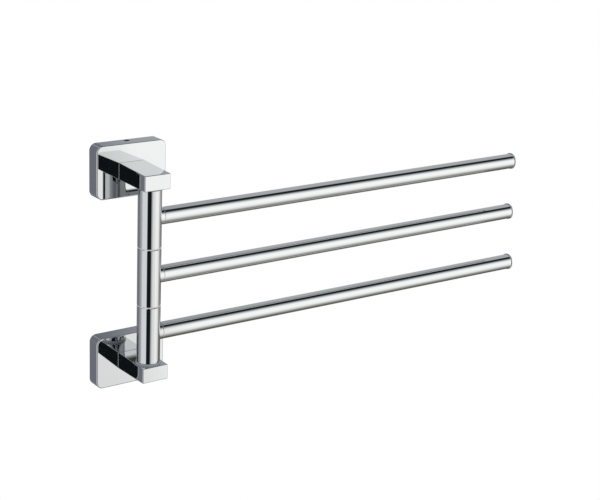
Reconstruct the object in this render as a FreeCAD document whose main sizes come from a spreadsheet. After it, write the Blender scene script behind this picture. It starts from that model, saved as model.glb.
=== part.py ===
import FreeCAD, Part
import os
import Sketcher
from FreeCAD import Rotation, Vector

# Swing arm towel bar: two wall rosettes carry two short square-edged arms, a
# post of three sleeves turns on a spindle between the arms, and each sleeve
# carries one round towel bar.
#
# Origin on the wall plane, midway between the two rosettes. +X runs along the
# wall towards the free ends of the bars, +Y into the wall, +Z up. Millimetres.

# Driving sizes. Everything else follows from these.
SIZES = {
    # rosette: hollow rectangular cover, open at the wall
    "rosette_width": 54.0,
    "rosette_height": 38.0,
    "rosette_depth": 11.0,
    "rosette_corner": 5.0,
    "rosette_front_edge": 0.9,
    "rosette_wall": 2.0,
    "rosette_face": 3.0,
    # bracket: pressed plate on the wall, hidden in the rosette
    "bracket_gap": 2.5,
    "bracket_thickness": 2.0,
    "bracket_corner": 2.0,
    "bracket_lip_depth": 6.0,
    "bracket_lip_width": 24.0,
    "bracket_lip_thickness": 1.5,
    "wall_screw_spacing": 30.0,
    "wall_screw_hole": 4.5,
    # grub screw that holds the rosette on its bracket
    "grub_diameter": 4.0,
    "grub_from_wall": 3.3,
    "grub_recess": 0.5,
    "grub_socket": 2.0,
    "grub_socket_depth": 2.5,
    # arm: solid bar of rectangular section between rosette and post, whose
    # outer face falls from root to end
    "arm_width": 20.0,
    "arm_root_height": 12.0,
    "arm_end_height": 10.9,
    "arm_nose": 10.5,
    "arm_edge": 0.6,
    "arm_root_edge": 0.35,
    "arm_skin": 4.2,
    "arm_web": 6.0,
    "spigot_width": 12.0,
    "spigot_height": 6.4,
    # screw and washer that clamp the arm to the rosette from behind
    "arm_screw_diameter": 5.0,
    "arm_screw_head": 8.5,
    "arm_screw_head_height": 3.0,
    "arm_screw_socket": 3.0,
    "arm_screw_socket_depth": 1.8,
    "arm_washer_diameter": 16.0,
    "arm_washer_thickness": 1.0,
    # post: spindle and what turns or rests on it
    "post_distance": 36.0,
    "post_diameter": 16.5,
    "sleeve_length": 41.5,
    "sleeve_bore": 11.0,
    "sleeve_edge": 0.35,
    "spindle_diameter": 8.0,
    "spindle_edge": 0.5,
    "spindle_end_gap": 0.3,
    "bush_length": 12.0,
    "spacer_thickness": 0.5,
    "spacer_inset": 0.3,
    "top_washer_thickness": 0.8,
    "foot_ring_thickness": 1.2,
    "foot_ring_overhang": 0.55,
    "foot_ring_edge": 0.3,
    # countersunk screw that holds the spindle down in the lower arm
    "spindle_screw_diameter": 5.0,
    "spindle_screw_head": 9.0,
    "spindle_screw_rim": 0.3,
    "spindle_screw_recess": 0.2,
    "spindle_screw_grip": 9.0,
    "spindle_screw_socket": 3.0,
    "spindle_screw_socket_depth": 1.6,
    # towel bar: tube with a threaded insert at its root and a cap at its end
    "bar_reach": 338.0,
    "bar_diameter": 12.0,
    "bar_wall": 1.0,
    "bar_root_edge": 0.25,
    "collar_thickness": 0.95,
    "stud_diameter": 6.0,
    "stud_edge": 0.4,
    "insert_length": 14.0,
    "cap_overhang": 0.5,
    "cap_length": 0.8,
    "cap_outer_round": 0.25,
    "cap_inner_round": 0.1,
    "cap_spigot_length": 8.0,
    # the small angle at which each bar was left, from parallel to the wall
    "top_bar_turn": 0.5,
    "middle_bar_turn": 0.15,
    "bottom_bar_turn": -0.65,
    # clearances on the radius
    "running_gap": 0.05,
    "thread_gap": 0.05,
    "seat_gap": 0.02,
    "screw_clearance": 0.25,
    # tapped hole left free beyond a screw's tip
    "thread_run_out": 2.0,
}

# Lengths that follow from the driving sizes.
STACK = ("(3 * Sizes.sleeve_length + 2 * Sizes.spacer_thickness"
         " + Sizes.top_washer_thickness + Sizes.foot_ring_thickness)")
MOUNT_HEIGHT = f"({STACK} + Sizes.arm_root_height) / 2"
STACK_FOOT = f"(Sizes.foot_ring_thickness - {STACK} / 2)"
SLEEVE_PITCH = "(Sizes.sleeve_length + Sizes.spacer_thickness)"
CAVITY_WIDTH = "(Sizes.rosette_width - 2 * Sizes.rosette_wall)"
CAVITY_HEIGHT = "(Sizes.rosette_height - 2 * Sizes.rosette_wall)"
CAVITY_DEPTH = "(Sizes.rosette_depth - Sizes.rosette_face)"
BRACKET_WIDTH = f"({CAVITY_WIDTH} - 2 * Sizes.bracket_gap)"
BRACKET_HEIGHT = f"({CAVITY_HEIGHT} - 2 * Sizes.bracket_gap)"
ARM_REACH = "(Sizes.post_distance + Sizes.arm_nose)"
ARM_FALL = f"(Sizes.arm_root_height - Sizes.arm_end_height) / ({ARM_REACH} - Sizes.rosette_depth)"
# the arm's height where the head of the flush screw ends, on the side of the arm's end
ARM_HEIGHT = ("(Sizes.arm_root_height - (Sizes.post_distance + Sizes.spindle_screw_head / 2"
              f" - Sizes.rosette_depth) * {ARM_FALL})")
SPINDLE_SEAT = f"({ARM_HEIGHT} - Sizes.arm_skin)"
SPINDLE_HOLE = "(Sizes.spindle_diameter + 2 * Sizes.running_gap)"
ARM_BORE_END = f"(Sizes.post_distance - {SPINDLE_HOLE} / 2 - Sizes.arm_web)"
ARM_SCREW_SEAT = f"({CAVITY_DEPTH} - Sizes.arm_washer_thickness)"
BAR_START = "(Sizes.post_diameter / 2 + Sizes.collar_thickness)"
BAR_END = "(Sizes.bar_reach - Sizes.cap_length)"
BAR_BORE = "(Sizes.bar_diameter - 2 * Sizes.bar_wall)"
STUD_START = "(Sizes.sleeve_bore / 2 + Sizes.seat_gap)"
STUD_END = f"({BAR_START} + Sizes.insert_length - Sizes.thread_run_out)"

doc = FreeCAD.newDocument("SwingArmTowelBar")
sheet = doc.addObject("Spreadsheet::Sheet", "Sizes")
for row, (alias, number) in enumerate(SIZES.items(), start=1):
    sheet.set(f"A{row}", alias)
    sheet.set(f"B{row}", str(number))
    sheet.setAlias(f"B{row}", alias)
doc.recompute()

# Two places closer than this count as one when edges are picked out.
SAME_PLACE = 0.001

pieces = []


def value(expression):
    """The number that an expression of the sheet's cells gives."""
    return float(sheet.evalExpression(expression))


def new_body(name):
    body = doc.addObject("PartDesign::Body", name)
    body.Label = name
    pieces.append(body)
    return body


def new_sketch(body, name, plane, offset="0"):
    """A sketch on one of the body's base planes, moved along the plane's normal."""
    sketch = body.newObject("Sketcher::SketchObject", name)
    support = next(part for part in body.Origin.OriginFeatures if part.Role == plane)
    sketch.AttachmentSupport = (support, [""])
    sketch.MapMode = "FlatFace"
    sketch.setExpression("AttachmentOffset.Base.z", offset)
    return sketch


def pin_point(sketch, geometry, vertex, across, up):
    """Fix a vertex at two expressions, measured from the sketch's origin."""
    for kind, axis, expression in (("DistanceX", -2, across), ("DistanceY", -1, up)):
        if expression == "0":
            sketch.addConstraint(Sketcher.Constraint("PointOnObject", geometry, vertex, axis))
        else:
            distance = value(expression)
            index = sketch.addConstraint(Sketcher.Constraint(kind, -1, 1, geometry, vertex, distance))
            sketch.setExpression(f"Constraints[{index}]", expression)


def add_circle(sketch, diameter, across="0", up="0"):
    centre = Vector(value(across), value(up), 0)
    circle = sketch.addGeometry(Part.Circle(centre, Vector(0, 0, 1), value(diameter) / 2))
    index = sketch.addConstraint(Sketcher.Constraint("Diameter", circle, value(diameter)))
    sketch.setExpression(f"Constraints[{index}]", diameter)
    pin_point(sketch, circle, 3, across, up)


def add_outline(sketch, corners):
    """A closed outline of straight lines through corners given as pairs of expressions."""
    points = [Vector(value(across), value(up), 0) for across, up in corners]
    lines = [sketch.addGeometry(Part.LineSegment(points[i], points[(i + 1) % len(points)]))
             for i in range(len(points))]
    for i, line in enumerate(lines):
        following = lines[(i + 1) % len(lines)]
        sketch.addConstraint(Sketcher.Constraint("Coincident", line, 2, following, 1))
        pin_point(sketch, line, 1, *corners[i])


def add_rectangle(sketch, width, height, across="0", up="0"):
    left, right = f"{across} - {width} / 2", f"{across} + {width} / 2"
    low, high = f"{up} - {height} / 2", f"{up} + {height} / 2"
    add_outline(sketch, [(left, low), (right, low), (right, high), (left, high)])


def add_hexagon(sketch, across_flats):
    """A hexagon about the sketch's origin, flats left and right."""
    flat, corner = f"{across_flats} / 2", f"{across_flats} / sqrt(3)"
    add_outline(sketch, [("0", f"-{corner}"), (flat, f"-{corner} / 2"), (flat, f"{corner} / 2"),
                         ("0", corner), (f"-{flat}", f"{corner} / 2"), (f"-{flat}", f"-{corner} / 2")])


def add_pad(sketch, length, reverse=False):
    """Extrude along the sketch's normal, or against it."""
    body = sketch.getParentGeoFeatureGroup()
    feature = body.newObject("PartDesign::Pad", f"{sketch.Name}_pad")
    feature.Profile = sketch
    feature.setExpression("Length", length)
    feature.Reversed = reverse
    doc.recompute()
    return feature


def add_pocket(sketch, length, reverse=False):
    """Cut against the sketch's normal, or along it. A cut that removes nothing is an error."""
    body = sketch.getParentGeoFeatureGroup()
    before = body.Tip.Shape.Volume
    feature = body.newObject("PartDesign::Pocket", f"{sketch.Name}_pocket")
    feature.Profile = sketch
    feature.setExpression("Length", length)
    feature.Reversed = reverse
    doc.recompute()
    if not feature.Shape.Volume < before:
        raise RuntimeError(f"{feature.Name} cuts nothing")
    return feature


def dress(body, kind, size_name, size, wanted):
    """Round or bevel the edges of the body's present shape that a test picks out."""
    base = body.Tip
    names = [f"Edge{i}" for i, edge in enumerate(base.Shape.Edges, start=1) if wanted(edge)]
    feature = body.newObject(f"PartDesign::{kind}", f"{body.Name}_{kind.lower()}")
    feature.Base = (base, names)
    feature.setExpression(size_name, size)
    doc.recompute()
    return feature


def round_edges(body, radius, wanted):
    return dress(body, "Fillet", "Radius", radius, wanted)


def bevel_edges(body, size, wanted):
    return dress(body, "Chamfer", "Size", size, wanted)


def in_plane(axis, position):
    """Picks the edges that lie in a plane square to an axis."""
    place = value(position)

    def test(edge):
        low = getattr(edge.BoundBox, f"{axis}Min")
        high = getattr(edge.BoundBox, f"{axis}Max")
        return abs(low - place) < SAME_PLACE and abs(high - place) < SAME_PLACE
    return test


def ring_at(axis, position, diameter):
    """Picks the round edges of one diameter in a plane square to an axis."""
    flat, radius = in_plane(axis, position), value(diameter) / 2
    return lambda edge: flat(edge) and abs(getattr(edge.Curve, "Radius", 0) - radius) < SAME_PLACE


def corner_at(axis, width):
    """Picks the straight edges along an axis whose X stands at plus or minus half the width."""
    half = value(width) / 2

    def test(edge):
        length = getattr(edge.BoundBox, f"{axis}Length")
        return abs(length - edge.Length) < SAME_PLACE and abs(abs(edge.CenterOfMass.x) - half) < SAME_PLACE
    return test


def place(body, height, distance="0", turn_axis=Vector(0, 0, 1), turn="0"):
    """Stand a body in front of the wall, turned by an angle."""
    body.Placement.Rotation = Rotation(turn_axis, value(turn))
    body.setExpression("Placement.Base.y", f"-({distance})")
    body.setExpression("Placement.Base.z", height)
    if turn_axis.z:
        body.setExpression("Placement.Rotation.Angle", turn)
    doc.recompute()


def place_in_mount(body, level):
    """Upper and lower mount hold the same pieces. The lower set is turned upside down."""
    if level == "upper":
        place(body, MOUNT_HEIGHT)
    else:
        place(body, f"-({MOUNT_HEIGHT})", turn_axis=Vector(0, 1, 0), turn="180")


def make_disc(name, outer, bore, thickness):
    """A flat ring about the post axis, from its own foot upwards."""
    body = new_body(name)
    ring = new_sketch(body, f"{name}_ring", "XY_Plane")
    add_circle(ring, outer)
    add_circle(ring, bore)
    add_pad(ring, thickness)
    return body


# ---- pieces of one wall mount, in a frame whose Z points away from the other mount

def make_rosette(level):
    """Hollow cover with a window for the arm's spigot and a tapped hole for the grub screw."""
    body = new_body(f"{level}_rosette")
    outline = new_sketch(body, f"{level}_rosette_outline", "XZ_Plane")
    add_rectangle(outline, "Sizes.rosette_width", "Sizes.rosette_height")
    add_pad(outline, "Sizes.rosette_depth")
    round_edges(body, "Sizes.rosette_corner", corner_at("Y", "Sizes.rosette_width"))
    round_edges(body, "Sizes.rosette_front_edge", in_plane("Y", "-Sizes.rosette_depth"))
    cavity = new_sketch(body, f"{level}_rosette_cavity", "XZ_Plane")
    add_rectangle(cavity, CAVITY_WIDTH, CAVITY_HEIGHT)
    add_pocket(cavity, CAVITY_DEPTH, reverse=True)
    round_edges(body, "Sizes.rosette_corner - Sizes.rosette_wall", corner_at("Y", CAVITY_WIDTH))
    window = new_sketch(body, f"{level}_rosette_window", "XZ_Plane")
    add_rectangle(window, "(Sizes.spigot_width + 2 * Sizes.running_gap)",
                  "(Sizes.spigot_height + 2 * Sizes.running_gap)")
    add_pocket(window, "Sizes.rosette_depth", reverse=True)
    grub_hole = new_sketch(body, f"{level}_rosette_grub_hole", "XY_Plane")
    add_circle(grub_hole, "Sizes.grub_diameter", up="-Sizes.grub_from_wall")
    add_pocket(grub_hole, "Sizes.rosette_height / 2", reverse=True)
    place_in_mount(body, level)


def make_bracket(level):
    """Plate screwed to the wall, with a lip above and below for the grub screw to bear on."""
    body = new_body(f"{level}_bracket")
    plate = new_sketch(body, f"{level}_bracket_plate", "XZ_Plane")
    add_rectangle(plate, BRACKET_WIDTH, BRACKET_HEIGHT)
    add_pad(plate, "Sizes.bracket_thickness")
    round_edges(body, "Sizes.bracket_corner", corner_at("Y", BRACKET_WIDTH))
    lips = new_sketch(body, f"{level}_bracket_lips", "XZ_Plane")
    for side in ("", "-"):
        lip_height = f"{side}({BRACKET_HEIGHT} - Sizes.bracket_lip_thickness) / 2"
        add_rectangle(lips, "Sizes.bracket_lip_width", "Sizes.bracket_lip_thickness", up=lip_height)
    add_pad(lips, "Sizes.bracket_lip_depth")
    holes = new_sketch(body, f"{level}_bracket_holes", "XZ_Plane")
    for side in ("", "-"):
        add_circle(holes, "Sizes.wall_screw_hole", across=f"{side}Sizes.wall_screw_spacing / 2")
    add_pocket(holes, "Sizes.bracket_thickness", reverse=True)
    place_in_mount(body, level)


def make_grub_screw(level):
    """Socket set screw in the rosette's outer side wall. Its tip bears on the bracket's lip."""
    body = new_body(f"{level}_grub_screw")
    tip = f"{BRACKET_HEIGHT} / 2"
    top = "(Sizes.rosette_height / 2 - Sizes.grub_recess)"
    shank = new_sketch(body, f"{level}_grub_screw_shank", "XY_Plane", offset=tip)
    add_circle(shank, "(Sizes.grub_diameter - 2 * Sizes.thread_gap)")
    add_pad(shank, f"{top} - {tip}")
    socket = new_sketch(body, f"{level}_grub_screw_socket", "XY_Plane", offset=top)
    add_hexagon(socket, "Sizes.grub_socket")
    add_pocket(socket, "Sizes.grub_socket_depth")
    place_in_mount(body, level)
    distance = "Sizes.grub_from_wall"
    body.setExpression("Placement.Base.y", f"-{distance}")
    doc.recompute()


def make_arm(level):
    """Rectangular bar with a spigot through the rosette and a seat for the spindle's end."""
    body = new_body(f"{level}_arm")
    inner, outer = "-Sizes.arm_root_height / 2", "Sizes.arm_root_height / 2"
    outer_end = f"{inner} + Sizes.arm_end_height"
    side = new_sketch(body, f"{level}_arm_side", "YZ_Plane", offset="-Sizes.arm_width / 2")
    add_outline(side, [("-Sizes.rosette_depth", inner), ("-Sizes.rosette_depth", outer),
                       (f"-{ARM_REACH}", outer_end), (f"-{ARM_REACH}", inner)])
    add_pad(side, "Sizes.arm_width")
    root = in_plane("Y", "-Sizes.rosette_depth")
    round_edges(body, "Sizes.arm_edge", lambda edge: not root(edge))
    round_edges(body, "Sizes.arm_root_edge", root)
    spigot = new_sketch(body, f"{level}_arm_spigot", "XZ_Plane", offset="Sizes.rosette_depth")
    add_rectangle(spigot, "Sizes.spigot_width", "Sizes.spigot_height")
    add_pad(spigot, "Sizes.rosette_face - Sizes.running_gap", reverse=True)
    bore = new_sketch(body, f"{level}_arm_bore", "XZ_Plane", offset=CAVITY_DEPTH)
    add_circle(bore, "Sizes.arm_screw_diameter")
    add_pocket(bore, f"{ARM_BORE_END} - {CAVITY_DEPTH}", reverse=True)
    seat = new_sketch(body, f"{level}_arm_seat", "XY_Plane", offset=inner)
    add_circle(seat, SPINDLE_HOLE, up="-Sizes.post_distance")
    add_pocket(seat, SPINDLE_SEAT, reverse=True)
    if level == "lower":
        screw_hole = "(Sizes.spindle_screw_diameter + 2 * Sizes.screw_clearance)"
        hole = new_sketch(body, "lower_arm_screw_hole", "XY_Plane", offset=outer)
        add_circle(hole, screw_hole, up="-Sizes.post_distance")
        add_pocket(hole, "Sizes.arm_root_height")
        rim = f"{inner} + {ARM_HEIGHT} - Sizes.spindle_screw_recess - Sizes.spindle_screw_rim"
        head_hole = "(Sizes.spindle_screw_head + 2 * Sizes.screw_clearance)"
        sunk = new_sketch(body, "lower_arm_sunk_head", "XY_Plane", offset=rim)
        add_circle(sunk, head_hole, up="-Sizes.post_distance")
        add_pocket(sunk, "Sizes.arm_root_height / 2", reverse=True)
        # the cone's rim stands thread_gap outside the screw's own cone
        countersink = f"((Sizes.spindle_screw_head - {screw_hole}) / 2 + Sizes.thread_gap)"
        bevel_edges(body, countersink, ring_at("Z", rim, screw_hole))
    place_in_mount(body, level)


def make_arm_screw(level):
    """Socket head screw from inside the rosette into the arm."""
    body = new_body(f"{level}_arm_screw")
    head = new_sketch(body, f"{level}_arm_screw_head", "XZ_Plane", offset=ARM_SCREW_SEAT)
    add_circle(head, "Sizes.arm_screw_head")
    add_pad(head, "Sizes.arm_screw_head_height", reverse=True)
    shank = new_sketch(body, f"{level}_arm_screw_shank", "XZ_Plane", offset=ARM_SCREW_SEAT)
    add_circle(shank, "(Sizes.arm_screw_diameter - 2 * Sizes.thread_gap)")
    add_pad(shank, f"{ARM_BORE_END} - Sizes.thread_run_out - {ARM_SCREW_SEAT}")
    top = f"({ARM_SCREW_SEAT} - Sizes.arm_screw_head_height)"
    socket = new_sketch(body, f"{level}_arm_screw_socket", "XZ_Plane", offset=top)
    add_hexagon(socket, "Sizes.arm_screw_socket")
    add_pocket(socket, "Sizes.arm_screw_socket_depth", reverse=True)
    place_in_mount(body, level)


def make_arm_washer(level):
    """Washer under the arm screw's head, wide enough to bridge the spigot window."""
    body = new_body(f"{level}_arm_washer")
    ring = new_sketch(body, f"{level}_arm_washer_ring", "XZ_Plane", offset=ARM_SCREW_SEAT)
    add_circle(ring, "Sizes.arm_washer_diameter")
    add_circle(ring, "(Sizes.arm_screw_diameter + 2 * Sizes.screw_clearance)")
    add_pad(ring, "Sizes.arm_washer_thickness")
    place_in_mount(body, level)


# ---- post: what stays still between the two arms

def make_spindle():
    """Rod seated in both arms, with a tapped hole in its lower end."""
    body = new_body("spindle")
    length = f"({STACK} + 2 * {SPINDLE_SEAT} - Sizes.spindle_end_gap)"
    rod = new_sketch(body, "spindle_rod", "XY_Plane")
    add_circle(rod, "Sizes.spindle_diameter")
    add_pad(rod, length)
    bevel_edges(body, "Sizes.spindle_edge", ring_at("Z", length, "Sizes.spindle_diameter"))
    thread = new_sketch(body, "spindle_thread", "XY_Plane")
    add_circle(thread, "Sizes.spindle_screw_diameter")
    add_pocket(thread, "Sizes.spindle_screw_grip + Sizes.thread_run_out", reverse=True)
    place(body, f"-{STACK} / 2 - {SPINDLE_SEAT}", "Sizes.post_distance")


def make_spindle_screw():
    """Countersunk screw, flush in the underside of the lower arm."""
    body = new_body("spindle_screw")
    head, shank = "Sizes.spindle_screw_head / 2", "(Sizes.spindle_screw_diameter / 2 - Sizes.thread_gap)"
    neck = f"(Sizes.spindle_screw_rim + {head} - {shank})"
    tip = "(Sizes.arm_skin - Sizes.spindle_screw_recess + Sizes.spindle_screw_grip)"
    profile = new_sketch(body, "spindle_screw_profile", "XZ_Plane")
    add_outline(profile, [("0", "0"), (head, "0"), (head, "Sizes.spindle_screw_rim"),
                          (shank, neck), (shank, tip), ("0", tip)])
    turned = body.newObject("PartDesign::Revolution", "spindle_screw_turned")
    turned.Profile = profile
    turned.ReferenceAxis = (profile, ["V_Axis"])
    turned.Angle = 360
    doc.recompute()
    socket = new_sketch(body, "spindle_screw_socket", "XY_Plane")
    add_hexagon(socket, "Sizes.spindle_screw_socket")
    add_pocket(socket, "Sizes.spindle_screw_socket_depth", reverse=True)
    underside = f"-{STACK} / 2 - {ARM_HEIGHT} + Sizes.spindle_screw_recess"
    place(body, underside, "Sizes.post_distance")


def make_post_rings():
    """Foot ring, two spacers and the top washer that the sleeves turn between."""
    bore = SPINDLE_HOLE
    narrow = "(Sizes.post_diameter - 2 * Sizes.spacer_inset)"
    wide = "(Sizes.post_diameter + 2 * Sizes.foot_ring_overhang)"
    foot = make_disc("foot_ring", wide, bore, "Sizes.foot_ring_thickness")
    bevel_edges(foot, "Sizes.foot_ring_edge", ring_at("Z", "Sizes.foot_ring_thickness", wide))
    place(foot, f"-{STACK} / 2", "Sizes.post_distance")
    for index, name in enumerate(("lower_spacer", "upper_spacer"), start=1):
        spacer = make_disc(name, narrow, bore, "Sizes.spacer_thickness")
        foot_height = f"{STACK_FOOT} + {index} * {SLEEVE_PITCH} - Sizes.spacer_thickness"
        place(spacer, foot_height, "Sizes.post_distance")
    top = make_disc("top_washer", narrow, bore, "Sizes.top_washer_thickness")
    place(top, f"{STACK} / 2 - Sizes.top_washer_thickness", "Sizes.post_distance")


# ---- one swing bar, in a frame on the post axis at the bar's height, X along the bar

def make_swing_bar(level, index):
    """Sleeve with two bushes, and the bar that a stud holds to it."""
    name = f"{level}_bar"
    centre = f"{STACK_FOOT} + {index} * {SLEEVE_PITCH} + Sizes.sleeve_length / 2"
    half = "Sizes.sleeve_length / 2"
    parts = []

    sleeve = new_body(f"{name}_sleeve")
    ring = new_sketch(sleeve, f"{name}_sleeve_ring", "XY_Plane", offset=f"-{half}")
    add_circle(ring, "Sizes.post_diameter")
    add_circle(ring, "Sizes.sleeve_bore")
    add_pad(ring, "Sizes.sleeve_length")
    ends = [ring_at("Z", end, "Sizes.post_diameter") for end in (half, f"-{half}")]
    bevel_edges(sleeve, "Sizes.sleeve_edge", lambda edge: any(end(edge) for end in ends))
    tapped = new_sketch(sleeve, f"{name}_sleeve_tapped_hole", "YZ_Plane")
    add_circle(tapped, "Sizes.stud_diameter")
    add_pocket(tapped, "Sizes.post_diameter", reverse=True)
    parts.append(sleeve)

    for end, foot in (("lower", f"-{half}"), ("upper", f"{half} - Sizes.bush_length")):
        bush = new_body(f"{name}_{end}_bush")
        wall = new_sketch(bush, f"{name}_{end}_bush_wall", "XY_Plane", offset=foot)
        add_circle(wall, "(Sizes.sleeve_bore - 2 * Sizes.seat_gap)")
        add_circle(wall, SPINDLE_HOLE)
        add_pad(wall, "Sizes.bush_length")
        parts.append(bush)

    collar = new_body(f"{name}_collar")
    disc = new_sketch(collar, f"{name}_collar_disc", "YZ_Plane")
    add_circle(disc, "Sizes.bar_diameter")
    add_circle(disc, "(Sizes.stud_diameter + 2 * Sizes.thread_gap)")
    add_pad(disc, BAR_START)
    saddle = new_sketch(collar, f"{name}_collar_saddle", "XY_Plane", offset="Sizes.bar_diameter")
    add_circle(saddle, "(Sizes.post_diameter + 2 * Sizes.seat_gap)")
    add_pocket(saddle, "2 * Sizes.bar_diameter")
    bevel_edges(collar, "Sizes.bar_root_edge", ring_at("X", BAR_START, "Sizes.bar_diameter"))
    parts.append(collar)

    stud = new_body(f"{name}_stud")
    shank = new_sketch(stud, f"{name}_stud_shank", "YZ_Plane", offset=STUD_START)
    stud_size = "(Sizes.stud_diameter - 2 * Sizes.thread_gap)"
    add_circle(shank, stud_size)
    add_pad(shank, f"{STUD_END} - {STUD_START}")
    bevel_edges(stud, "Sizes.stud_edge", ring_at("X", STUD_END, stud_size))
    parts.append(stud)

    insert = new_body(f"{name}_insert")
    plug = new_sketch(insert, f"{name}_insert_plug", "YZ_Plane", offset=BAR_START)
    add_circle(plug, f"({BAR_BORE} - 2 * Sizes.seat_gap)")
    add_circle(plug, "Sizes.stud_diameter")
    add_pad(plug, "Sizes.insert_length")
    parts.append(insert)

    tube = new_body(f"{name}_tube")
    wall = new_sketch(tube, f"{name}_tube_wall", "YZ_Plane", offset=BAR_START)
    add_circle(wall, "Sizes.bar_diameter")
    add_circle(wall, BAR_BORE)
    add_pad(wall, f"{BAR_END} - {BAR_START}")
    bevel_edges(tube, "Sizes.bar_root_edge", ring_at("X", BAR_START, "Sizes.bar_diameter"))
    parts.append(tube)

    cap = new_body(f"{name}_end_cap")
    cap_size = "(Sizes.bar_diameter + 2 * Sizes.cap_overhang)"
    head = new_sketch(cap, f"{name}_end_cap_head", "YZ_Plane", offset=BAR_END)
    add_circle(head, cap_size)
    add_pad(head, "Sizes.cap_length")
    round_edges(cap, "Sizes.cap_outer_round", ring_at("X", "Sizes.bar_reach", cap_size))
    round_edges(cap, "Sizes.cap_inner_round", ring_at("X", BAR_END, cap_size))
    spigot = new_sketch(cap, f"{name}_end_cap_spigot", "YZ_Plane", offset=BAR_END)
    add_circle(spigot, f"({BAR_BORE} - 2 * Sizes.seat_gap)")
    add_pad(spigot, "Sizes.cap_spigot_length", reverse=True)
    parts.append(cap)

    for part in parts:
        place(part, centre, "Sizes.post_distance", turn=f"Sizes.{name}_turn")


for mount in ("upper", "lower"):
    make_rosette(mount)
    make_bracket(mount)
    make_grub_screw(mount)
    make_arm(mount)
    make_arm_screw(mount)
    make_arm_washer(mount)
make_spindle()
make_spindle_screw()
make_post_rings()
for position, bar in enumerate(("bottom", "middle", "top")):
    make_swing_bar(bar, position)

doc.recompute()
for item in doc.Objects:
    if "Invalid" in item.State or "Error" in item.State:
        raise RuntimeError(f"{item.Name} failed: {item.State}")
for piece in pieces:
    if piece.Shape.isNull() or not piece.Shape.isValid() or len(piece.Shape.Solids) != 1:
        raise RuntimeError(f"{piece.Label} is not one valid solid")

os.makedirs("parts", exist_ok=True)
for piece in pieces:
    piece.Shape.exportStep(f"parts/{piece.Label}.step")
whole = Part.makeCompound([piece.Shape for piece in pieces]).BoundBox
print(f"{len(pieces)} pieces, {whole.XLength:.1f} x {whole.YLength:.1f} x {whole.ZLength:.1f} mm")
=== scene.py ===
import math

import bpy
from mathutils import Matrix, Vector


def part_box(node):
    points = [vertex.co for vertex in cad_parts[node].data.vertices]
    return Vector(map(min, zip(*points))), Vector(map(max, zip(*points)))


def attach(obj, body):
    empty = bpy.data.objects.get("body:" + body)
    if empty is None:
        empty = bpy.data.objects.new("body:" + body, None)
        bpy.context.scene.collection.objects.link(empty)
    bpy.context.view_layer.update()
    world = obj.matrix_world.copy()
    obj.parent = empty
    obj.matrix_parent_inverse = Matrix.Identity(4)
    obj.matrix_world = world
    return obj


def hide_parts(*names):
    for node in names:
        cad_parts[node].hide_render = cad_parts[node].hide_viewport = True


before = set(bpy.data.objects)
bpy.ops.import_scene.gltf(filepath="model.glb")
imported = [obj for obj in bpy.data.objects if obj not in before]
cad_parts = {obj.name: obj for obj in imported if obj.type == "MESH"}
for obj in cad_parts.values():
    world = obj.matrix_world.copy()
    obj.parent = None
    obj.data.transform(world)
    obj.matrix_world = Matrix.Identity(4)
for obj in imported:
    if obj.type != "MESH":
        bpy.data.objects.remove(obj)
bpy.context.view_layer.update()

# The camera. It stands to the left of the towel bar and a little above it, and looks down along the bars.
# Its place, turn and focal length are those at which the edges of the CAD model fall on those of the photograph.
CAMERA_PLACE = (-0.476932, -0.859353, 0.331182)
CAMERA_TURN = math.radians(36.300)
CAMERA_DIP = math.radians(18.000)
CAMERA_ROLL = math.radians(2.576)
SENSOR_WIDTH = 36.0
FOCAL_LENGTH = 87.274

ahead = Vector((math.sin(CAMERA_TURN) * math.cos(CAMERA_DIP), math.cos(CAMERA_TURN) * math.cos(CAMERA_DIP),
                -math.sin(CAMERA_DIP)))
level = Vector((math.cos(CAMERA_TURN), -math.sin(CAMERA_TURN), 0))
upright = level.cross(ahead)
right = math.cos(CAMERA_ROLL) * level + math.sin(CAMERA_ROLL) * upright
up = math.cos(CAMERA_ROLL) * upright - math.sin(CAMERA_ROLL) * level
camera = bpy.data.objects.new("camera", bpy.data.cameras.new("camera"))
camera.data.sensor_width = SENSOR_WIDTH
camera.data.lens = FOCAL_LENGTH
camera.data.clip_start = 0.01
camera.matrix_world = Matrix.Translation(CAMERA_PLACE) @ Matrix((right, up, -ahead)).transposed().to_4x4()
bpy.context.scene.collection.objects.link(camera)
bpy.context.scene.camera = camera
bpy.context.scene.view_settings.view_transform = "Standard"


# The studio round the object. Polished chrome shows nothing but its surroundings: a bright soft wall in front and to
# the right, a duller one to the left, a dark gap where the camera stands, a dark beam overhead and a brown table
# below. The camera and clear rays see plain white, and what isn't a mirror is lit by an even pale surround.
def linear(hex_colour):
    """An sRGB colour as three hex pairs, as the linear colour that a socket takes."""
    parts = [int(hex_colour[i:i + 2], 16) / 255 for i in (0, 2, 4)]
    return tuple(c / 12.92 if c <= 0.04045 else ((c + 0.055) / 1.055) ** 2.4 for c in parts) + (1.0,)


def set_inputs(tree, node, inputs):
    """Gives inputs of a node a value, or links them to an output or a list of outputs.

    A node stands for its first output.
    """
    for socket, given in inputs.items():
        for source in given if isinstance(given, list) else [given]:
            if isinstance(source, bpy.types.Node):
                source = source.outputs[0]
            if isinstance(source, bpy.types.NodeSocket):
                tree.links.new(source, node.inputs[socket])
            else:
                node.inputs[socket].default_value = source


def add_node(tree, kind, inputs=None, **settings):
    """A node of that kind, with its settings and its inputs' values and links."""
    node = tree.nodes.new(kind)
    for name, setting in settings.items():
        setattr(node, name, setting)
    set_inputs(tree, node, inputs or {})
    return node


STUDIO_STRENGTH = 1.45
PLAIN_STRENGTH = 0.95
CAMERA_AZIMUTH = math.atan2(-math.cos(CAMERA_TURN), -math.sin(CAMERA_TURN))
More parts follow.
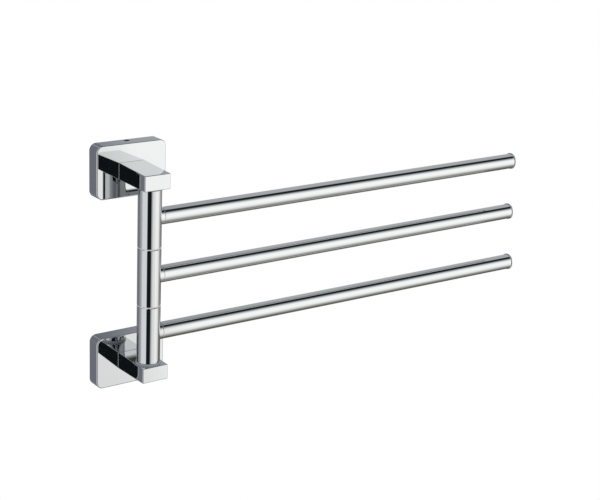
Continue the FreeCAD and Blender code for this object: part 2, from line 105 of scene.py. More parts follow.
# left half of the room, by the angle round the object from the camera, which is 0
LEFT_WALL = [(-180, "c4c6c9"), (-150, "b0b2b6"), (-133, "6a6b73"), (-112, "6a6b73"), (-75, "a0a2a5"), (-60, "d2d3d5"),
             (-18, "d2d3d5"), (-13, "12171a"), (21, "12171a"), (26, "9a9e9e"), (55, "dcdddc"), (180, "ececeb")]
# right half in front of the object, by the angle up round the bars from straight ahead, which is 0
FRONT_WALL = [(-180, "605e57"), (-90, "5c5a54"), (-60, "a8a7a0"), (-38, "e4e4e1"), (-10, "fbfbfa"),
              (24, "f5f5f5"), (48, "a0a2a3"), (60, "1f2223"), (86, "1a1c1d"), (98, "9a9b9e"), (180, "acaeb2")]
# right half behind the object, by the angle up from level
BACK_WALL = [(-180, "605e57"), (-18, "605e57"), (-14, "a3a4a6"), (180, "acaeb2")]
# what dims the right half towards the middle of the room, by how far to the right a direction points
FRONT_SHADE = [(0.0, "e2e2e2"), (0.44, "ebebeb"), (0.46, "f0f0f0"), (0.475, "fdfdfd"), (1.0, "ffffff")]
BACK_SHADE = [(0.0, "989da6"), (0.44, "a4a9b0"), (0.475, "e2e6ea"), (0.55, "ffffff"), (1.0, "ffffff")]
# where front turns into back and left into right, by a direction's Y and X
BACK_SEAM = (-0.06, 0.06)
RIGHT_SEAM = (-0.1, 0.15)

world = bpy.data.worlds.new("studio")
world.use_nodes = True
world.cycles.sampling_method = "NONE"
bpy.context.scene.world = world
tree = world.node_tree
tree.nodes.clear()
direction = add_node(tree, "ShaderNodeTexCoord").outputs["Generated"]
axes = add_node(tree, "ShaderNodeSeparateXYZ", {"Vector": direction}).outputs
turned = add_node(tree, "ShaderNodeVectorRotate", {"Vector": direction, "Angle": -CAMERA_AZIMUTH},
                  rotation_type="Z_AXIS")
turned = add_node(tree, "ShaderNodeSeparateXYZ", {"Vector": turned}).outputs
azimuth = add_node(tree, "ShaderNodeMath", {0: turned["Y"], 1: turned["X"]}, operation="ARCTAN2")
front = add_node(tree, "ShaderNodeMath", {0: axes["Y"], 1: -1.0}, operation="MULTIPLY")
tilt = add_node(tree, "ShaderNodeMath", {0: axes["Z"], 1: front}, operation="ARCTAN2")
height = add_node(tree, "ShaderNodeMath", {0: axes["Z"]}, operation="ARCSINE")
colours = []
for measure, lowest, highest, unit, stops in (
        (azimuth, -180, 180, math.radians(1), LEFT_WALL),
        (tilt, -180, 180, math.radians(1), FRONT_WALL),
        (height, -180, 180, math.radians(1), BACK_WALL),
        (axes["X"], 0, 1, 1, FRONT_SHADE),
        (axes["X"], 0, 1, 1, BACK_SHADE)):
    share = add_node(tree, "ShaderNodeMapRange",
                     {"Value": measure, "From Min": lowest * unit, "From Max": highest * unit})
    ramp = add_node(tree, "ShaderNodeValToRGB", {"Fac": share})
    for number, (place, hex_colour) in enumerate(stops):
        position = (place - lowest) / (highest - lowest)
        stop = ramp.color_ramp.elements[number] if number < 2 else ramp.color_ramp.elements.new(position)
        stop.position = position
        stop.color = linear(hex_colour)
    colours.append(ramp.outputs["Color"])
left_colour, front_colour, back_colour, front_shade, back_shade = colours
front_colour = add_node(tree, "ShaderNodeMixRGB", {"Fac": 1.0, "Color1": front_colour, "Color2": front_shade},
                        blend_type="MULTIPLY")
back_colour = add_node(tree, "ShaderNodeMixRGB", {"Fac": 1.0, "Color1": back_colour, "Color2": back_shade},
                       blend_type="MULTIPLY")
behind = add_node(tree, "ShaderNodeMapRange",
                  {"Value": axes["Y"], "From Min": BACK_SEAM[0], "From Max": BACK_SEAM[1]},
                  interpolation_type="SMOOTHSTEP")
rightward = add_node(tree, "ShaderNodeMapRange",
                     {"Value": axes["X"], "From Min": RIGHT_SEAM[0], "From Max": RIGHT_SEAM[1]},
                     interpolation_type="SMOOTHSTEP")
right_colour = add_node(tree, "ShaderNodeMixRGB", {"Fac": behind, "Color1": front_colour, "Color2": back_colour})
all_round = add_node(tree, "ShaderNodeMixRGB", {"Fac": rightward, "Color1": left_colour, "Color2": right_colour})
studio = add_node(tree, "ShaderNodeBackground", {"Color": all_round, "Strength": STUDIO_STRENGTH})
plain = add_node(tree, "ShaderNodeBackground", {"Color": linear("f4f5f6"), "Strength": PLAIN_STRENGTH})
white = add_node(tree, "ShaderNodeBackground", {"Color": linear("ffffff"), "Strength": 1.0})
rays = add_node(tree, "ShaderNodeLightPath").outputs
straight = add_node(tree, "ShaderNodeMath", {0: rays["Is Camera Ray"], 1: rays["Is Transmission Ray"]},
                    operation="MAXIMUM")
unseen = add_node(tree, "ShaderNodeMixShader", {0: rays["Is Glossy Ray"], 1: plain, 2: studio})
seen = add_node(tree, "ShaderNodeMixShader", {0: straight, 1: unseen, 2: white})
add_node(tree, "ShaderNodeOutputWorld", {"Surface": seen})

# The lamps. Two broad soft lamps, one to each side in front, light what isn't mirror-bright at a plain level. They
# don't show in the chrome, which has the studio's walls to show.
LAMPS = [((-0.5, -1.0, 1.0), 1.0, 4.0), ((0.9, -0.7, 0.7), 0.9, 2.5)]
for number, (place, width, power) in enumerate(LAMPS):
    lamp = bpy.data.lights.new(f"soft_lamp_{number}", "AREA")
    lamp.shape = "SQUARE"
    lamp.size = width
    lamp.energy = power
    lamp_object = bpy.data.objects.new(lamp.name, lamp)
    lamp_object.location = place
    lamp_object.rotation_euler = Vector(place).to_track_quat("Z", "Y").to_euler()
    lamp_object.visible_glossy = False
    bpy.context.scene.collection.objects.link(lamp_object)


# The floor, painted matt white. It lies as far below the towel rail as it does in a bathroom, its rim fades into the
# white behind, and mirrors don't see it.
def new_finish(name):
    """A material of that name, its node tree and its shader."""
    finish = bpy.data.materials.new(name)
    finish.use_nodes = True
    return finish, finish.node_tree, finish.node_tree.nodes["Principled BSDF"]


FLOOR_DEPTH = 1.2
FLOOR_REACH = 1.3
FLOOR_SIDES = 96
FADE_START = 0.45 * FLOOR_REACH
FADE_END = 0.97 * FLOOR_REACH
floor_paint, tree, paint = new_finish("floor_paint_matt_white")
set_inputs(tree, paint, {"Base Color": linear("f4f4f3"), "Roughness": 0.8})
place = add_node(tree, "ShaderNodeTexCoord").outputs["Object"]
from_middle = add_node(tree, "ShaderNodeVectorMath", {0: place, 1: (1.0, 1.0, 0.0)}, operation="MULTIPLY")
distance = add_node(tree, "ShaderNodeVectorMath", {0: from_middle}, operation="LENGTH").outputs["Value"]
rim = add_node(tree, "ShaderNodeMapRange", {"Value": distance, "From Min": FADE_START, "From Max": FADE_END},
               interpolation_type="SMOOTHSTEP")
mirrored = add_node(tree, "ShaderNodeLightPath").outputs["Is Glossy Ray"]
clear_share = add_node(tree, "ShaderNodeMath", {0: rim, 1: mirrored}, operation="MAXIMUM")
clear = add_node(tree, "ShaderNodeBsdfTransparent")
surface = add_node(tree, "ShaderNodeMixShader", {0: clear_share, 1: paint, 2: clear})
set_inputs(tree, tree.nodes["Material Output"], {"Surface": surface})

corners = [math.tau * i / FLOOR_SIDES for i in range(FLOOR_SIDES)]
floor_mesh = bpy.data.meshes.new("floor")
floor_mesh.from_pydata([(FLOOR_REACH * math.cos(corner), FLOOR_REACH * math.sin(corner), -FLOOR_DEPTH)
                        for corner in corners], [], [list(range(FLOOR_SIDES))])
floor_mesh.materials.append(floor_paint)
floor = bpy.data.objects.new("floor", floor_mesh)
bpy.context.scene.collection.objects.link(floor)


# The two wall brackets, pressed from zinc-plated sheet steel and screwed to the wall. Zinc plating is greyish,
# faintly blue and clouded, with the rolling lines of the sheet showing through.
def dress(finish, nodes):
    """Gives the CAD pieces of those names a finish."""
    for node in nodes:
        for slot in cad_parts[node].material_slots:
            slot.material = finish


MM = 0.001
bracket_zinc, tree, shader = new_finish("zinc_plated_pressed_steel")
place = add_node(tree, "ShaderNodeTexCoord").outputs["Object"]
clouds = add_node(tree, "ShaderNodeTexNoise", {"Vector": place, "Scale": 1 / (4 * MM), "Detail": 3.0})
tone = add_node(tree, "ShaderNodeMixRGB", {"Fac": clouds, "Color1": linear("a3a9ae"), "Color2": linear("c3c7ca")})
# rolling lines a tenth of a millimetre apart, drawn 0.5 mm apart so that they show
along = add_node(tree, "ShaderNodeMapping",
                 {"Vector": place, "Scale": (1 / (20 * MM), 1 / (20 * MM), 1 / (0.5 * MM))})
lines = add_node(tree, "ShaderNodeTexNoise", {"Vector": along, "Scale": 1.0, "Detail": 2.0})
dullness = add_node(tree, "ShaderNodeMapRange", {"Value": lines, "To Min": 0.28, "To Max": 0.48})
ridges = add_node(tree, "ShaderNodeBump", {"Height": lines, "Strength": 0.15, "Distance": 0.02 * MM})
set_inputs(tree, shader, {"Metallic": 1.0, "Base Color": tone, "Roughness": dullness, "Normal": ridges})
dress(bracket_zinc, ("upper_bracket", "lower_bracket"))

# The two wall rosettes and the two arms, cast in zinc alloy, ground flat, then copper, nickel and chrome plated
# to a mirror. The plating leaves the faces very slightly wavy and the polish a hair duller in patches.
CHROME_COLOUR = linear("d4d6d7")
cast_chrome, tree, shader = new_finish("bright_chrome_on_cast_zinc")
place = add_node(tree, "ShaderNodeTexCoord").outputs["Object"]
patches = add_node(tree, "ShaderNodeTexNoise", {"Vector": place, "Scale": 1 / (12 * MM), "Detail": 2.0})
dullness = add_node(tree, "ShaderNodeMapRange", {"Value": patches, "To Min": 0.015, "To Max": 0.045})
# the waves of hand polishing are about 15 mm long, and far too shallow to feel
waves = add_node(tree, "ShaderNodeTexNoise", {"Vector": place, "Scale": 1 / (15 * MM), "Detail": 0.0})
wavy = add_node(tree, "ShaderNodeBump", {"Height": waves, "Strength": 0.25, "Distance": 0.03 * MM})
set_inputs(tree, shader, {"Metallic": 1.0, "Base Color": CHROME_COLOUR, "Roughness": dullness, "Normal": wavy})
dress(cast_chrome, ("upper_rosette", "lower_rosette", "upper_arm", "lower_arm"))


# The fasteners that hold rosettes and arms: a grub screw of black-oxide steel in the side of each rosette, and a
# socket screw of stainless steel with its washer from each rosette into its arm. Their threads are rolled.
def new_shape(name, lengths, **others):
    """A geometry tree with a named input for each length and each other kind of value, and those inputs."""
    tree = bpy.data.node_groups.new(name, "GeometryNodeTree")
    for socket, kind in ({length: "Float" for length in lengths} | others).items():
        tree.interface.new_socket(socket, in_out="INPUT", socket_type=f"NodeSocket{kind}")
    tree.interface.new_socket("Geometry", in_out="OUTPUT", socket_type="NodeSocketGeometry")
    return tree, add_node(tree, "NodeGroupInput").outputs


def end_shape(tree, geometry, finish):
    """Ends a geometry tree, its instances made real and its material set."""
    real = add_node(tree, "GeometryNodeRealizeInstances", {"Geometry": geometry})
    dressed = add_node(tree, "GeometryNodeSetMaterial", {"Geometry": real, "Material": finish})
    add_node(tree, "NodeGroupOutput", {"Geometry": dressed})


def shape_piece(tree, name, body, inputs, place):
    """What a geometry tree makes from its named inputs, as a plain mesh moved to its place, riding on a body."""
    source = bpy.data.objects.new(f"{name}_source", bpy.data.meshes.new(f"{name}_source"))
    bpy.context.scene.collection.objects.link(source)
    modifier = source.modifiers.new("shape", "NODES")
    modifier.node_group = tree
    for item in tree.interface.items_tree:
        if item.item_type == "SOCKET" and item.in_out == "INPUT":
            modifier[item.identifier] = inputs[item.name]
    mesh = bpy.data.meshes.new_from_object(source.evaluated_get(bpy.context.evaluated_depsgraph_get()))
    source.modifiers.remove(modifier)
    bpy.data.objects.remove(source)
    mesh.name = name
    mesh.transform(place)
    # the tree's first pieces bring an empty slot, so the one finish is set anew
    mesh.materials.clear()
    mesh.materials.append(inputs["Finish"])
    mesh.polygons.foreach_set("material_index", [0] * len(mesh.polygons))
    piece = bpy.data.objects.new(name, mesh)
    bpy.context.scene.collection.objects.link(piece)
    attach(piece, body)
    return piece


# a round core from the origin upwards, with the ridge of a right-hand thread wound round its lower part
CORE_SIDES = 48
THREAD_STEPS = 24
thread_tree, given = new_shape("rolled_thread", ("Thread Diameter", "Thread Depth", "Thread Pitch", "Thread Length",
                                                 "Core Length"))
thread_radius = add_node(thread_tree, "ShaderNodeMath", {0: given["Thread Diameter"], 1: 0.5}, operation="MULTIPLY")
core_radius = add_node(thread_tree, "ShaderNodeMath", {0: thread_radius, 1: given["Thread Depth"]},
                       operation="SUBTRACT")
core = add_node(thread_tree, "GeometryNodeMeshCylinder",
                {"Vertices": CORE_SIDES, "Radius": core_radius, "Depth": given["Core Length"]})
core_middle = add_node(thread_tree, "ShaderNodeMath", {0: given["Core Length"], 1: 0.5}, operation="MULTIPLY")
core_place = add_node(thread_tree, "ShaderNodeCombineXYZ", {"Z": core_middle})
core = add_node(thread_tree, "GeometryNodeTransform", {"Geometry": core, "Translation": core_place})
ridge_width = add_node(thread_tree, "ShaderNodeMath", {0: given["Thread Depth"], 1: 2.0}, operation="MULTIPLY")
wound_height = add_node(thread_tree, "ShaderNodeMath", {0: given["Thread Length"], 1: ridge_width},
                        operation="SUBTRACT")
turns = add_node(thread_tree, "ShaderNodeMath", {0: wound_height, 1: given["Thread Pitch"]}, operation="DIVIDE")
helix = add_node(thread_tree, "GeometryNodeCurveSpiral",
                 {"Resolution": THREAD_STEPS, "Reverse": True, "Rotations": turns, "Start Radius": core_radius,
                  "End Radius": core_radius, "Height": wound_height})
helix = add_node(thread_tree, "GeometryNodeSetCurveNormal", {"Curve": helix}, mode="Z_UP")
section = add_node(thread_tree, "GeometryNodeCurvePrimitiveCircle", {"Resolution": 4, "Radius": given["Thread Depth"]})
ridge = add_node(thread_tree, "GeometryNodeCurveToMesh",
                 {"Curve": helix, "Profile Curve": section, "Fill Caps": True})
ridge_place = add_node(thread_tree, "ShaderNodeCombineXYZ", {"Z": given["Thread Depth"]})
ridge = add_node(thread_tree, "GeometryNodeTransform", {"Geometry": ridge, "Translation": ridge_place})
threaded = add_node(thread_tree, "GeometryNodeJoinGeometry", {"Geometry": [core, ridge]})
add_node(thread_tree, "NodeGroupOutput", {"Geometry": threaded})

# a screw from its tip at the origin upwards: a threaded shank, a head that may be a cylinder or a cone, and a
# hexagonal socket sunk in the head
HEAD_SIDES = 64
screw_tree, given = new_shape("socket_screw", (
    "Thread Diameter", "Thread Depth", "Thread Pitch", "Thread Length", "Shank Length", "Neck Diameter",
    "Head Diameter", "Head Height", "Socket Width", "Socket Depth"), Finish="Material")
shank = add_node(screw_tree, "GeometryNodeGroup", {
    "Thread Diameter": given["Thread Diameter"], "Thread Depth": given["Thread Depth"],
    "Thread Pitch": given["Thread Pitch"], "Thread Length": given["Thread Length"],
    "Core Length": given["Shank Length"]}, node_tree=thread_tree)
neck_radius = add_node(screw_tree, "ShaderNodeMath", {0: given["Neck Diameter"], 1: 0.5}, operation="MULTIPLY")
head_radius = add_node(screw_tree, "ShaderNodeMath", {0: given["Head Diameter"], 1: 0.5}, operation="MULTIPLY")
head = add_node(screw_tree, "GeometryNodeMeshCone",
                {"Vertices": HEAD_SIDES, "Radius Top": head_radius, "Radius Bottom": neck_radius,
                 "Depth": given["Head Height"]})
head_place = add_node(screw_tree, "ShaderNodeCombineXYZ", {"Z": given["Shank Length"]})
head = add_node(screw_tree, "GeometryNodeTransform", {"Geometry": head, "Translation": head_place})
# a hexagon is as wide across its flats as its corners' radius times the square root of 3
socket_radius = add_node(screw_tree, "ShaderNodeMath", {0: given["Socket Width"], 1: math.sqrt(3)},
                         operation="DIVIDE")
prism_height = add_node(screw_tree, "ShaderNodeMath", {0: given["Socket Depth"], 1: 2.0}, operation="MULTIPLY")
prism = add_node(screw_tree, "GeometryNodeMeshCylinder",
                 {"Vertices": 6, "Radius": socket_radius, "Depth": prism_height})
screw_top = add_node(screw_tree, "ShaderNodeMath", {0: given["Shank Length"], 1: given["Head Height"]},
                     operation="ADD")
prism_place = add_node(screw_tree, "ShaderNodeCombineXYZ", {"Z": screw_top})
prism = add_node(screw_tree, "GeometryNodeTransform", {"Geometry": prism, "Translation": prism_place})
head = add_node(screw_tree, "GeometryNodeMeshBoolean", {"Mesh 1": head, "Mesh 2": prism}, operation="DIFFERENCE")
screw = add_node(screw_tree, "GeometryNodeJoinGeometry", {"Geometry": [shank, head]})
end_shape(screw_tree, screw, given["Finish"])

# black oxide is near black with a dull sheen, and rolled stainless steel a warm light grey, both a little grainy
screw_finishes = {}
for name, dark, light, smoothest, roughest in (
        ("black_oxide_alloy_steel", "1b1c1d", "33353a", 0.35, 0.5),
        ("stainless_steel_rolled_thread", "a9a8a4", "c6c4bf", 0.19, 0.34)):
    screw_finishes[name], tree, shader = new_finish(name)
    place = add_node(tree, "ShaderNodeTexCoord").outputs["Object"]
    grain = add_node(tree, "ShaderNodeTexNoise", {"Vector": place, "Scale": 1 / (0.6 * MM), "Detail": 2.0})
    tone = add_node(tree, "ShaderNodeMixRGB", {"Fac": grain, "Color1": linear(dark), "Color2": linear(light)})
    dullness = add_node(tree, "ShaderNodeMapRange", {"Value": grain, "To Min": smoothest, "To Max": roughest})
    set_inputs(tree, shader, {"Metallic": 1.0, "Base Color": tone, "Roughness": dullness})
black_steel = screw_finishes["black_oxide_alloy_steel"]
stainless_steel = screw_finishes["stainless_steel_rolled_thread"]

MOUNT_HEIGHT = 69.75 * MM
POST_DISTANCE = 36.0 * MM
GRUB_DISTANCE = 3.3 * MM
GRUB_TIP = 14.5 * MM
ARM_SCREW_TIP = 23.95 * MM
upside_down = Matrix.Rotation(math.pi, 4, "Y")
for side, stand in (("upper", Matrix.Identity(4)), ("lower", upside_down)):
    mount = stand @ Matrix.Translation((0, 0, MOUNT_HEIGHT))
    # M4 x 4 grub screw, pointing at the bracket, half a millimetre below the rosette's outer side
    grub = shape_piece(screw_tree, f"{side}_grub_screw_threaded", "wall_frame", {
        "Thread Diameter": 3.9 * MM, "Thread Depth": 0.38 * MM, "Thread Pitch": 0.7 * MM, "Thread Length": 4.0 * MM,
        "Shank Length": 1.3 * MM, "Neck Diameter": 3.14 * MM, "Head Diameter": 3.14 * MM, "Head Height": 2.7 * MM,
        "Socket Width": 2.0 * MM, "Socket Depth": 2.5 * MM, "Finish": black_steel},
        mount @ Matrix.Translation((0, -GRUB_DISTANCE, GRUB_TIP)))
    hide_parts(f"{side}_grub_screw")
    # M5 x 17 socket head screw, its head in the rosette and its tip towards the post
    into_arm = Matrix.Translation((0, -ARM_SCREW_TIP, 0)) @ Matrix.Rotation(-math.pi / 2, 4, "X")
    screw = shape_piece(screw_tree, f"{side}_arm_screw_threaded", "wall_frame", {
        "Thread Diameter": 4.9 * MM, "Thread Depth": 0.4 * MM, "Thread Pitch": 0.8 * MM, "Thread Length": 16.9 * MM,
        "Shank Length": 16.95 * MM, "Neck Diameter": 8.5 * MM, "Head Diameter": 8.5 * MM, "Head Height": 3.0 * MM,
        "Socket Width": 3.0 * MM, "Socket Depth": 1.8 * MM, "Finish": stainless_steel}, mount @ into_arm)
    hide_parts(f"{side}_arm_screw")
dress(stainless_steel, ("upper_arm_washer", "lower_arm_washer"))

# The countersunk screw of stainless steel that holds the spindle down. It comes up through the lower arm, and its
# head lies flush in the arm's underside.
spindle_screw = shape_piece(screw_tree, "spindle_screw_threaded", "wall_frame", {
    "Thread Diameter": 4.9 * MM, "Thread Depth": 0.4 * MM, "Thread Pitch": 0.8 * MM, "Thread Length": 10.6 * MM,
    "Shank Length": 10.65 * MM, "Neck Diameter": 4.9 * MM, "Head Diameter": 9.0 * MM, "Head Height": 2.35 * MM,
    "Socket Width": 3.0 * MM, "Socket Depth": 1.6 * MM, "Finish": stainless_steel},
    Matrix.Translation((0, -POST_DISTANCE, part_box("spindle_screw")[1][2])) @ Matrix.Rotation(math.pi, 4, "X"))
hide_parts("spindle_screw")

# The spindle that the post turns on: bright drawn steel, ground round, with grinding lines round it. It stands
# in both arms and can't be seen from outside.
ground_steel, tree, shader = new_finish("centreless_ground_steel")
place = add_node(tree, "ShaderNodeTexCoord").outputs["Object"]
# grinding lines some hundredths of a millimetre apart, drawn 0.2 mm apart so that they show
across = add_node(tree, "ShaderNodeMapping",
                  {"Vector": place, "Scale": (1 / (20 * MM), 1 / (20 * MM), 1 / (0.2 * MM))})
lines = add_node(tree, "ShaderNodeTexNoise", {"Vector": across, "Scale": 1.0, "Detail": 2.0})
tone = add_node(tree, "ShaderNodeMixRGB", {"Fac": lines, "Color1": linear("a8a7a4"), "Color2": linear("c2c1be")})
dullness = add_node(tree, "ShaderNodeMapRange", {"Value": lines, "To Min": 0.14, "To Max": 0.26})
set_inputs(tree, shader, {"Metallic": 1.0, "Base Color": tone, "Roughness": dullness})
dress(ground_steel, ("spindle",))

# The ring under the lowest sleeve, turned from grey-blue acetal rod. It is smooth and slightly waxy, with
# turning lines round it.
acetal, tree, shader = new_finish("turned_grey_acetal")
place = add_node(tree, "ShaderNodeTexCoord").outputs["Object"]
specks = add_node(tree, "ShaderNodeTexNoise", {"Vector": place, "Scale": 1 / (1.5 * MM), "Detail": 3.0})
tone = add_node(tree, "ShaderNodeMixRGB", {"Fac": specks, "Color1": linear("7f8b91"), "Color2": linear("939fa5")})
# turning lines a twentieth of a millimetre apart, drawn 0.2 mm apart so that they show
across = add_node(tree, "ShaderNodeMapping",
                  {"Vector": place, "Scale": (1 / (20 * MM), 1 / (20 * MM), 1 / (0.2 * MM))})
lines = add_node(tree, "ShaderNodeTexNoise", {"Vector": across, "Scale": 1.0})
dullness = add_node(tree, "ShaderNodeMapRange", {"Value": lines, "To Min": 0.24, "To Max": 0.38})
set_inputs(tree, shader, {"IOR": 1.48, "Base Color": tone, "Roughness": dullness})
dress(acetal, ("foot_ring",))

# The nylon pieces that the sleeves turn on: two stamped spacers, a washer under the upper arm, and two turned
# bushes in each sleeve. Natural nylon is milky white, a little grey, and lets some light in.
nylon, tree, shader = new_finish("natural_nylon")
place = add_node(tree, "ShaderNodeTexCoord").outputs["Object"]
milk = add_node(tree, "ShaderNodeTexNoise", {"Vector": place, "Scale": 1 / (3 * MM), "Detail": 2.0})
tone = add_node(tree, "ShaderNodeMixRGB", {"Fac": milk, "Color1": linear("cfd1d0"), "Color2": linear("dcdddb")})
dullness = add_node(tree, "ShaderNodeMapRange", {"Value": milk, "To Min": 0.38, "To Max": 0.5})
set_inputs(tree, shader, {"IOR": 1.53, "Subsurface Weight": 0.2, "Subsurface Radius": (2 * MM, 1.6 * MM, 1.2 * MM),
                          "Base Color": tone, "Roughness": dullness})
dress(nylon, ("lower_spacer", "upper_spacer", "top_washer"))

# a turned ring from its foot at the origin upwards, with its four edges taken off
RING_SIDES = 128
SHARP_BEND = math.radians(20)
ring_tree, given = new_shape("turned_ring", ("Outer Diameter", "Bore", "Length", "Edge"), Finish="Material")
diameters = add_node(ring_tree, "ShaderNodeMath", {0: given["Outer Diameter"], 1: given["Bore"]}, operation="ADD")
mean_radius = add_node(ring_tree, "ShaderNodeMath", {0: diameters, 1: 0.25}, operation="MULTIPLY")
walls = add_node(ring_tree, "ShaderNodeMath", {0: given["Outer Diameter"], 1: given["Bore"]}, operation="SUBTRACT")
wall = add_node(ring_tree, "ShaderNodeMath", {0: walls, 1: 0.5}, operation="MULTIPLY")
section = add_node(ring_tree, "GeometryNodeCurvePrimitiveQuadrilateral", {"Width": wall, "Height": given["Length"]})
section = add_node(ring_tree, "GeometryNodeFilletCurve", {"Curve": section, "Radius": given["Edge"], "Count": 1},
                   mode="POLY")
path = add_node(ring_tree, "GeometryNodeCurvePrimitiveCircle", {"Resolution": RING_SIDES, "Radius": mean_radius})
ring = add_node(ring_tree, "GeometryNodeCurveToMesh", {"Curve": path, "Profile Curve": section})
ring_middle = add_node(ring_tree, "ShaderNodeMath", {0: given["Length"], 1: 0.5}, operation="MULTIPLY")
ring_place = add_node(ring_tree, "ShaderNodeCombineXYZ", {"Z": ring_middle})
ring = add_node(ring_tree, "GeometryNodeTransform", {"Geometry": ring, "Translation": ring_place})
bend = add_node(ring_tree, "GeometryNodeInputMeshEdgeAngle").outputs["Unsigned Angle"]
is_corner = add_node(ring_tree, "FunctionNodeCompare", {"A": bend, "B": SHARP_BEND}, operation="GREATER_THAN")
ring = add_node(ring_tree, "GeometryNodeSetShadeSmooth", {"Geometry": ring, "Shade Smooth": True}, domain="FACE")
ring = add_node(ring_tree, "GeometryNodeSetShadeSmooth",
                {"Geometry": ring, "Selection": is_corner, "Shade Smooth": False}, domain="EDGE")
end_shape(ring_tree, ring, given["Finish"])

# height of each bar on the post in millimetres, and by how many degrees its tube was left turned from the wall's line
BARS = {"top": (42.2, 0.5), "middle": (0.2, 0.15), "bottom": (-41.8, -0.65)}
SLEEVE_LENGTH = 41.5 * MM
BUSH_LENGTH = 12.0 * MM
bar_frames = {bar: Matrix.Translation((0, -POST_DISTANCE, height * MM)) @ Matrix.Rotation(math.radians(turn), 4, "Z")
              for bar, (height, turn) in BARS.items()}
for bar, bar_frame in bar_frames.items():
    for end, foot in (("lower", -SLEEVE_LENGTH / 2), ("upper", SLEEVE_LENGTH / 2 - BUSH_LENGTH)):
        bush = shape_piece(ring_tree, f"{bar}_bar_{end}_bush_turned", f"{bar}_swing_bar", {
            "Outer Diameter": 10.96 * MM, "Bore": 8.1 * MM, "Length": BUSH_LENGTH, "Edge": 0.3 * MM, "Finish": nylon},
            bar_frame @ Matrix.Translation((0, 0, foot)))
        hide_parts(f"{bar}_bar_{end}_bush")

# The sleeves, collars, bars and end caps, turned or drawn in brass, polished and chrome plated. They were polished
# while they turned, so the polish runs round them. The bars are thin tubes with their edges broken.
drawn_chrome, tree, shader = new_finish("bright_chrome_on_drawn_brass")
place = add_node(tree, "ShaderNodeTexCoord").outputs["Object"]
# polishing lines a few hundredths of a millimetre apart, drawn 0.5 mm apart so that they show at all
around = add_node(tree, "ShaderNodeMapping",
                  {"Vector": place, "Scale": (1 / (0.5 * MM), 1 / (10 * MM), 1 / (10 * MM))})
lines = add_node(tree, "ShaderNodeTexNoise", {"Vector": around, "Scale": 1.0, "Detail": 1.0})
dullness = add_node(tree, "ShaderNodeMapRange", {"Value": lines, "To Min": 0.012, "To Max": 0.04})
waves = add_node(tree, "ShaderNodeTexNoise", {"Vector": place, "Scale": 1 / (30 * MM), "Detail": 0.0})
wavy = add_node(tree, "ShaderNodeBump", {"Height": waves, "Strength": 0.2, "Distance": 0.03 * MM})
set_inputs(tree, shader, {"Metallic": 1.0, "Base Color": CHROME_COLOUR, "Roughness": dullness, "Normal": wavy})

BAR_START = 9.2 * MM
TUBE_LENGTH = 328.0 * MM
lie_down = Matrix.Rotation(math.pi / 2, 4, "Y")
for bar, bar_frame in bar_frames.items():
    tube = shape_piece(ring_tree, f"{bar}_bar_tube_drawn", f"{bar}_swing_bar", {
        "Outer Diameter": 12.0 * MM, "Bore": 10.0 * MM, "Length": TUBE_LENGTH, "Edge": 0.25 * MM,
        "Finish": drawn_chrome}, bar_frame @ Matrix.Translation((BAR_START, 0, 0)) @ lie_down)
    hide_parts(f"{bar}_bar_tube")
    dress(drawn_chrome, (f"{bar}_bar_sleeve", f"{bar}_bar_collar", f"{bar}_bar_end_cap"))

# Inside the root of each bar, a brass plug, straight-knurled outside so that it bites in the tube, and the
# stainless M6 stud that draws the bar against its collar and sleeve.
brass, tree, shader = new_finish("turned_yellow_brass")
place = add_node(tree, "ShaderNodeTexCoord").outputs["Object"]
stain = add_node(tree, "ShaderNodeTexNoise", {"Vector": place, "Scale": 1 / (2 * MM), "Detail": 3.0})
tone = add_node(tree, "ShaderNodeMixRGB", {"Fac": stain, "Color1": linear("b58f45"), "Color2": linear("d2b065")})
dullness = add_node(tree, "ShaderNodeMapRange", {"Value": stain, "To Min": 0.2, "To Max": 0.36})
set_inputs(tree, shader, {"Metallic": 1.0, "Base Color": tone, "Roughness": dullness})

# a ribbed plug: a round outline whose every other point is drawn in, filled but for its bore, and drawn up
BORE_SIDES = 64
SAME_POINT = 0.001 * MM
knurl_tree, given = new_shape("knurled_plug", ("Outer Diameter", "Bore", "Length", "Rib Depth"), Ribs="Int",
                              Finish="Material")
outer_radius = add_node(knurl_tree, "ShaderNodeMath", {0: given["Outer Diameter"], 1: 0.5}, operation="MULTIPLY")
points = add_node(knurl_tree, "ShaderNodeMath", {0: given["Ribs"], 1: 2}, operation="MULTIPLY")
rim = add_node(knurl_tree, "GeometryNodeCurvePrimitiveCircle", {"Resolution": points, "Radius": outer_radius})
index = add_node(knurl_tree, "GeometryNodeInputIndex")
parity = add_node(knurl_tree, "ShaderNodeMath", {0: index, 1: 2}, operation="MODULO")
depth = add_node(knurl_tree, "ShaderNodeMath", {0: parity, 1: given["Rib Depth"]}, operation="MULTIPLY")
depth_share = add_node(knurl_tree, "ShaderNodeMath", {0: depth, 1: outer_radius}, operation="DIVIDE")
inwards = add_node(knurl_tree, "ShaderNodeMath", {0: depth_share, 1: -1}, operation="MULTIPLY")
position = add_node(knurl_tree, "GeometryNodeInputPosition")
shift = add_node(knurl_tree, "ShaderNodeVectorMath", {0: position, "Scale": inwards}, operation="SCALE")
rim = add_node(knurl_tree, "GeometryNodeSetPosition", {"Geometry": rim, "Offset": shift})
bore_radius = add_node(knurl_tree, "ShaderNodeMath", {0: given["Bore"], 1: 0.5}, operation="MULTIPLY")
bore = add_node(knurl_tree, "GeometryNodeCurvePrimitiveCircle", {"Resolution": BORE_SIDES, "Radius": bore_radius})
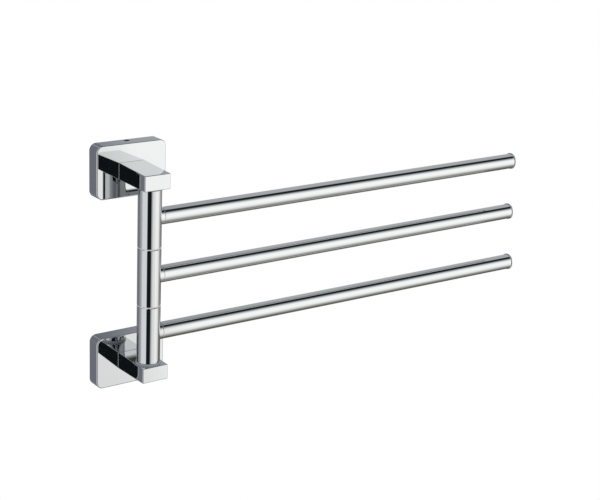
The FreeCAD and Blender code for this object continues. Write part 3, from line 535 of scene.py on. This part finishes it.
outlines = add_node(knurl_tree, "GeometryNodeJoinGeometry", {"Geometry": [rim, bore]})
foot = add_node(knurl_tree, "GeometryNodeFillCurve", {"Curve": outlines})
upwards = add_node(knurl_tree, "ShaderNodeCombineXYZ", {"Z": 1.0})
drawn_up = add_node(knurl_tree, "GeometryNodeExtrudeMesh",
                    {"Mesh": foot, "Offset": upwards, "Offset Scale": given["Length"], "Individual": False})
under = add_node(knurl_tree, "GeometryNodeFlipFaces", {"Mesh": foot})
closed = add_node(knurl_tree, "GeometryNodeJoinGeometry", {"Geometry": [drawn_up, under]})
closed = add_node(knurl_tree, "GeometryNodeMergeByDistance", {"Geometry": closed, "Distance": SAME_POINT})
end_shape(knurl_tree, closed, given["Finish"])

# a stud, threaded from end to end
stud_tree, given = new_shape("threaded_stud", ("Thread Diameter", "Thread Depth", "Thread Pitch", "Length"),
                             Finish="Material")
stud = add_node(stud_tree, "GeometryNodeGroup", {
    "Thread Diameter": given["Thread Diameter"], "Thread Depth": given["Thread Depth"],
    "Thread Pitch": given["Thread Pitch"], "Thread Length": given["Length"], "Core Length": given["Length"]},
    node_tree=thread_tree)
end_shape(stud_tree, stud, given["Finish"])

STUD_START = 5.52 * MM
STUD_END = 21.2 * MM
for bar, bar_frame in bar_frames.items():
    plug = shape_piece(knurl_tree, f"{bar}_bar_insert_knurled", f"{bar}_swing_bar", {
        "Outer Diameter": 9.96 * MM, "Bore": 6.0 * MM, "Length": 14.0 * MM, "Rib Depth": 0.25 * MM, "Ribs": 40,
        "Finish": brass}, bar_frame @ Matrix.Translation((BAR_START, 0, 0)) @ lie_down)
    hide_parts(f"{bar}_bar_insert")
    stud = shape_piece(stud_tree, f"{bar}_bar_stud_threaded", f"{bar}_swing_bar", {
        "Thread Diameter": 5.9 * MM, "Thread Depth": 0.45 * MM, "Thread Pitch": 1.0 * MM,
        "Length": STUD_END - STUD_START, "Finish": stainless_steel},
        bar_frame @ Matrix.Translation((STUD_START, 0, 0)) @ lie_down)
    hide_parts(f"{bar}_bar_stud")
